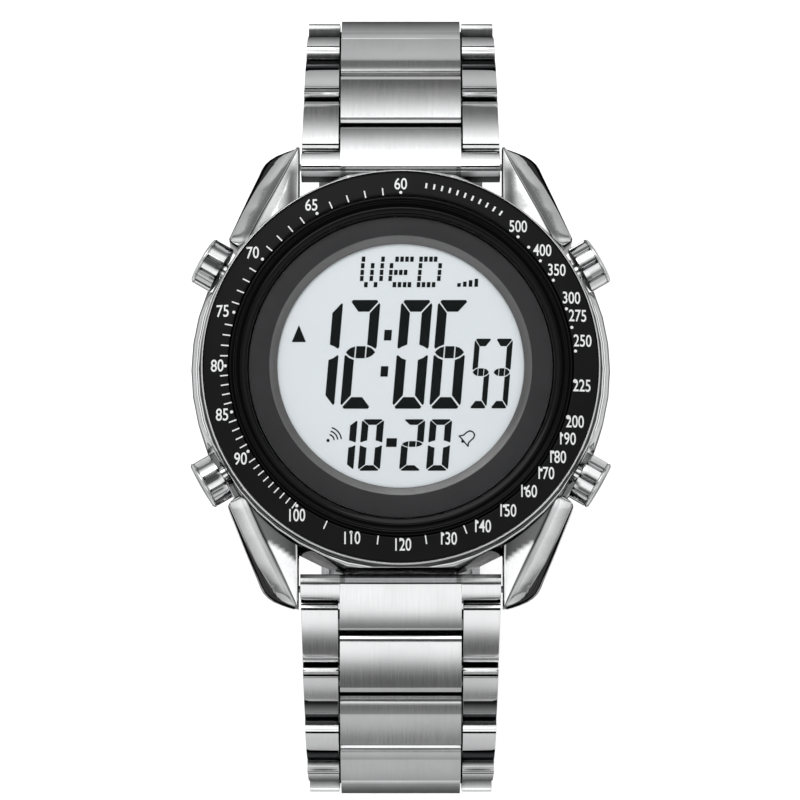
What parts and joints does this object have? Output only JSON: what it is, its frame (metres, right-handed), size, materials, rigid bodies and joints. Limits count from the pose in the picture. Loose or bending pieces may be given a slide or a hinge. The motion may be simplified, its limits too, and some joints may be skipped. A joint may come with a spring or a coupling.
{
  "type": "digital wristwatch",
  "caption": "Round digital wristwatch with a black scale bezel, side pushers, angular lugs, a steel link bracelet and a fold-over clasp, closed into its wearing loop.",
  "frame": {"origin": "centre of the case back's outer face, which rests on the wrist", "axes": "+Z out of the dial, +Y to 12 o'clock, +X to 3 o'clock"},
  "size_m": [0.0458, 0.0878, 0.0592],
  "materials": {
    "case_steel": "polished with fine directional brushing",
    "fastener_steel": "turned",
    "bezel_steel": "mirror polished",
    "scale_black": "satin black with white printed scale",
    "gloss_black": "glossy black",
    "crystal": "clear polished",
    "seal_rubber": "matt",
    "dial_grey": "fine matt",
    "display": "pale grey liquid crystal display with black segments",
    "diffuser": "milky",
    "zebra_rubber": "satin",
    "module_plastic": "moulded",
    "board_green": "solder mask",
    "battery_steel": "drawn",
    "contact_steel": "stamped",
    "buzzer_brass": "stamped",
    "bracelet_steel": "long-grain brushed faces, polished bevels",
    "clasp_steel": "brushed"
  },
  "bodies": {
    "case": {"case_body": "case_steel", "case_back": "case_steel", "case_back_gasket": "seal_rubber", "case_back_screw_1": "fastener_steel", "case_back_screw_2": "fastener_steel", "case_back_screw_3": "fastener_steel", "case_back_screw_4": "fastener_steel", "bezel_ring": "bezel_steel", "bezel_insert": "scale_black", "crystal_ring": "gloss_black", "crystal": "crystal", "crystal_gasket": "seal_rubber", "dial_ring": "dial_grey", "lcd_panel": "display", "backlight_panel": "diffuser", "zebra_strip_upper": "zebra_rubber", "zebra_strip_lower": "zebra_rubber", "module_frame": "module_plastic", "circuit_board": "board_green", "battery": "battery_steel", "battery_clip": "contact_steel", "buzzer_disc": "buzzer_brass", "pusher_spring_2": "fastener_steel", "pusher_spring_4": "fastener_steel", "pusher_spring_8": "fastener_steel", "pusher_spring_10": "fastener_steel", "spring_bar_12": "fastener_steel", "spring_bar_6": "fastener_steel"},
    "pusher_2": {"pusher_2": "case_steel"},
    "pusher_4": {"pusher_4": "case_steel"},
    "pusher_8": {"pusher_8": "case_steel"},
    "pusher_10": {"pusher_10": "case_steel"},
    "end_link_12": {"end_link_12": "bracelet_steel"},
    "row_12_1": {"link_12_row_1": "bracelet_steel"},
    "row_12_2": {"link_12_row_2": "bracelet_steel"},
    "row_12_3": {"link_12_row_3": "bracelet_steel"},
    "row_12_4": {"link_12_row_4": "bracelet_steel"},
    "row_12_5": {"link_12_row_5": "bracelet_steel"},
    "row_12_6": {"link_12_row_6": "bracelet_steel"},
    "row_12_7": {"link_12_row_7": "bracelet_steel"},
    "row_12_8": {"link_12_row_8": "bracelet_steel"},
    "row_12_9": {"link_12_row_9": "bracelet_steel"},
    "end_link_6": {"end_link_6": "bracelet_steel"},
    "row_6_1": {"link_6_row_1": "bracelet_steel"},
    "row_6_2": {"link_6_row_2": "bracelet_steel"},
    "row_6_3": {"link_6_row_3": "bracelet_steel"},
    "row_6_4": {"link_6_row_4": "bracelet_steel"},
    "row_6_5": {"link_6_row_5": "bracelet_steel"},
    "row_6_6": {"link_6_row_6": "bracelet_steel"},
    "row_6_7": {"link_6_row_7": "bracelet_steel"},
    "row_6_8": {"link_6_row_8": "bracelet_steel"},
    "row_6_9": {"link_6_row_9": "bracelet_steel", "clasp_spring_bar": "fastener_steel"},
    "clasp_inner": {"clasp_blade_inner": "clasp_steel", "clasp_pin_b": "fastener_steel"},
    "clasp_outer": {"clasp_blade_outer": "clasp_steel"},
    "clasp_cover": {"clasp_cover": "clasp_steel", "clasp_pin_a": "fastener_steel"}
  },
  "joints": [
    {"name": "pusher_2_press", "type": "slide", "parent": "case", "child": "pusher_2", "axis": [-0.866, -0.5, 0], "range_m": [0, 0.0005], "stiffness_N_per_m": 2000, "springref_m": -0.0004, "deforming": ["pusher_spring_2"]},
    {"name": "pusher_4_press", "type": "slide", "parent": "case", "child": "pusher_4", "axis": [-0.866, 0.5, 0], "range_m": [0, 0.0005], "stiffness_N_per_m": 2000, "springref_m": -0.0004, "deforming": ["pusher_spring_4"]},
    {"name": "pusher_8_press", "type": "slide", "parent": "case", "child": "pusher_8", "axis": [0.866, 0.5, 0], "range_m": [0, 0.0005], "stiffness_N_per_m": 2000, "springref_m": -0.0004, "deforming": ["pusher_spring_8"]},
    {"name": "pusher_10_press", "type": "slide", "parent": "case", "child": "pusher_10", "axis": [0.866, -0.5, 0], "range_m": [0, 0.0005], "stiffness_N_per_m": 2000, "springref_m": -0.0004, "deforming": ["pusher_spring_10"]},
    {"name": "end_link_12_hinge", "type": "hinge", "parent": "case", "child": "end_link_12", "pos_m": [0, 0.0234, 0.0039], "axis": [1, 0, 0], "range_deg": [0, 4]},
    {"name": "row_12_1_hinge", "type": "hinge", "parent": "end_link_12", "child": "row_12_1", "pos_m": [0, 0.0261, 0.00365], "axis": [1, 0, 0], "range_deg": [0, 6.3]},
    {"name": "row_12_2_hinge", "type": "hinge", "parent": "row_12_1", "child": "row_12_2", "pos_m": [0, 0.0325, 0.00013], "axis": [1, 0, 0], "range_deg": [0, 18.2]},
    {"name": "row_12_3_hinge", "type": "hinge", "parent": "row_12_2", "child": "row_12_3", "pos_m": [0, 0.03775, -0.00494], "axis": [1, 0, 0], "range_deg": [0, 21]},
    {"name": "row_12_4_hinge", "type": "hinge", "parent": "row_12_3", "child": "row_12_4", "pos_m": [0, 0.04118, -0.01138], "axis": [1, 0, 0], "range_deg": [0, 23]},
    {"name": "row_12_5_hinge", "type": "hinge", "parent": "row_12_4", "child": "row_12_5", "pos_m": [0, 0.04219, -0.01861], "axis": [1, 0, 0], "range_deg": [0, 21]},
    {"name": "row_12_6_hinge", "type": "hinge", "parent": "row_12_5", "child": "row_12_6", "pos_m": [0, 0.04092, -0.0258], "axis": [1, 0, 0], "range_deg": [0, 20]},
    {"name": "row_12_7_hinge", "type": "hinge", "parent": "row_12_6", "child": "row_12_7", "pos_m": [0, 0.03761, -0.03231], "axis": [1, 0, 0], "range_deg": [0, 20]},
    {"name": "row_12_8_hinge", "type": "hinge", "parent": "row_12_7", "child": "row_12_8", "pos_m": [0, 0.03254, -0.03756], "axis": [1, 0, 0], "range_deg": [0, 19]},
    {"name": "row_12_9_hinge", "type": "hinge", "parent": "row_12_8", "child": "row_12_9", "pos_m": [0, 0.02622, -0.04121], "axis": [1, 0, 0], "range_deg": [0, 17]},
    {"name": "clasp_hinge", "type": "hinge", "parent": "row_12_9", "child": "clasp_inner", "pos_m": [0, 0.0192, -0.04322], "axis": [1, 0, 0], "range_deg": [0, 25]},
    {"name": "end_link_6_hinge", "type": "hinge", "parent": "case", "child": "end_link_6", "pos_m": [0, -0.0234, 0.0039], "axis": [-1, 0, 0], "range_deg": [0, 4]},
    {"name": "row_6_1_hinge", "type": "hinge", "parent": "end_link_6", "child": "row_6_1", "pos_m": [0, -0.0261, 0.00365], "axis": [-1, 0, 0], "range_deg": [0, 6.3]},
    {"name": "row_6_2_hinge", "type": "hinge", "parent": "row_6_1", "child": "row_6_2", "pos_m": [0, -0.0325, 0.00013], "axis": [-1, 0, 0], "range_deg": [0, 18.2]},
    {"name": "row_6_3_hinge", "type": "hinge", "parent": "row_6_2", "child": "row_6_3", "pos_m": [0, -0.03775, -0.00494], "axis": [-1, 0, 0], "range_deg": [0, 21]},
    {"name": "row_6_4_hinge", "type": "hinge", "parent": "row_6_3", "child": "row_6_4", "pos_m": [0, -0.04118, -0.01138], "axis": [-1, 0, 0], "range_deg": [0, 23]},
    {"name": "row_6_5_hinge", "type": "hinge", "parent": "row_6_4", "child": "row_6_5", "pos_m": [0, -0.04219, -0.01861], "axis": [-1, 0, 0], "range_deg": [0, 21]},
    {"name": "row_6_6_hinge", "type": "hinge", "parent": "row_6_5", "child": "row_6_6", "pos_m": [0, -0.04092, -0.0258], "axis": [-1, 0, 0], "range_deg": [0, 20]},
    {"name": "row_6_7_hinge", "type": "hinge", "parent": "row_6_6", "child": "row_6_7", "pos_m": [0, -0.03761, -0.03231], "axis": [-1, 0, 0], "range_deg": [0, 20]},
    {"name": "row_6_8_hinge", "type": "hinge", "parent": "row_6_7", "child": "row_6_8", "pos_m": [0, -0.03254, -0.03756], "axis": [-1, 0, 0], "range_deg": [0, 19]},
    {"name": "row_6_9_hinge", "type": "hinge", "parent": "row_6_8", "child": "row_6_9", "pos_m": [0, -0.02622, -0.04121], "axis": [-1, 0, 0], "range_deg": [0, 17]},
    {"name": "clasp_cover_open", "type": "hinge", "parent": "clasp_outer", "child": "clasp_cover", "pos_m": [0, 0.0156, -0.0443], "axis": [1, 0, 0], "range_deg": [0, 145]},
    {"name": "clasp_blade_unfold", "type": "hinge", "parent": "clasp_inner", "child": "clasp_outer", "pos_m": [0, -0.0145, -0.0429], "axis": [-1, 0, 0], "range_deg": [0, 131]}
  ],
  "couplings": [
    {"joint": "clasp_blade_unfold", "follows": "clasp_cover_open", "ratio": 0.9}
  ]
}
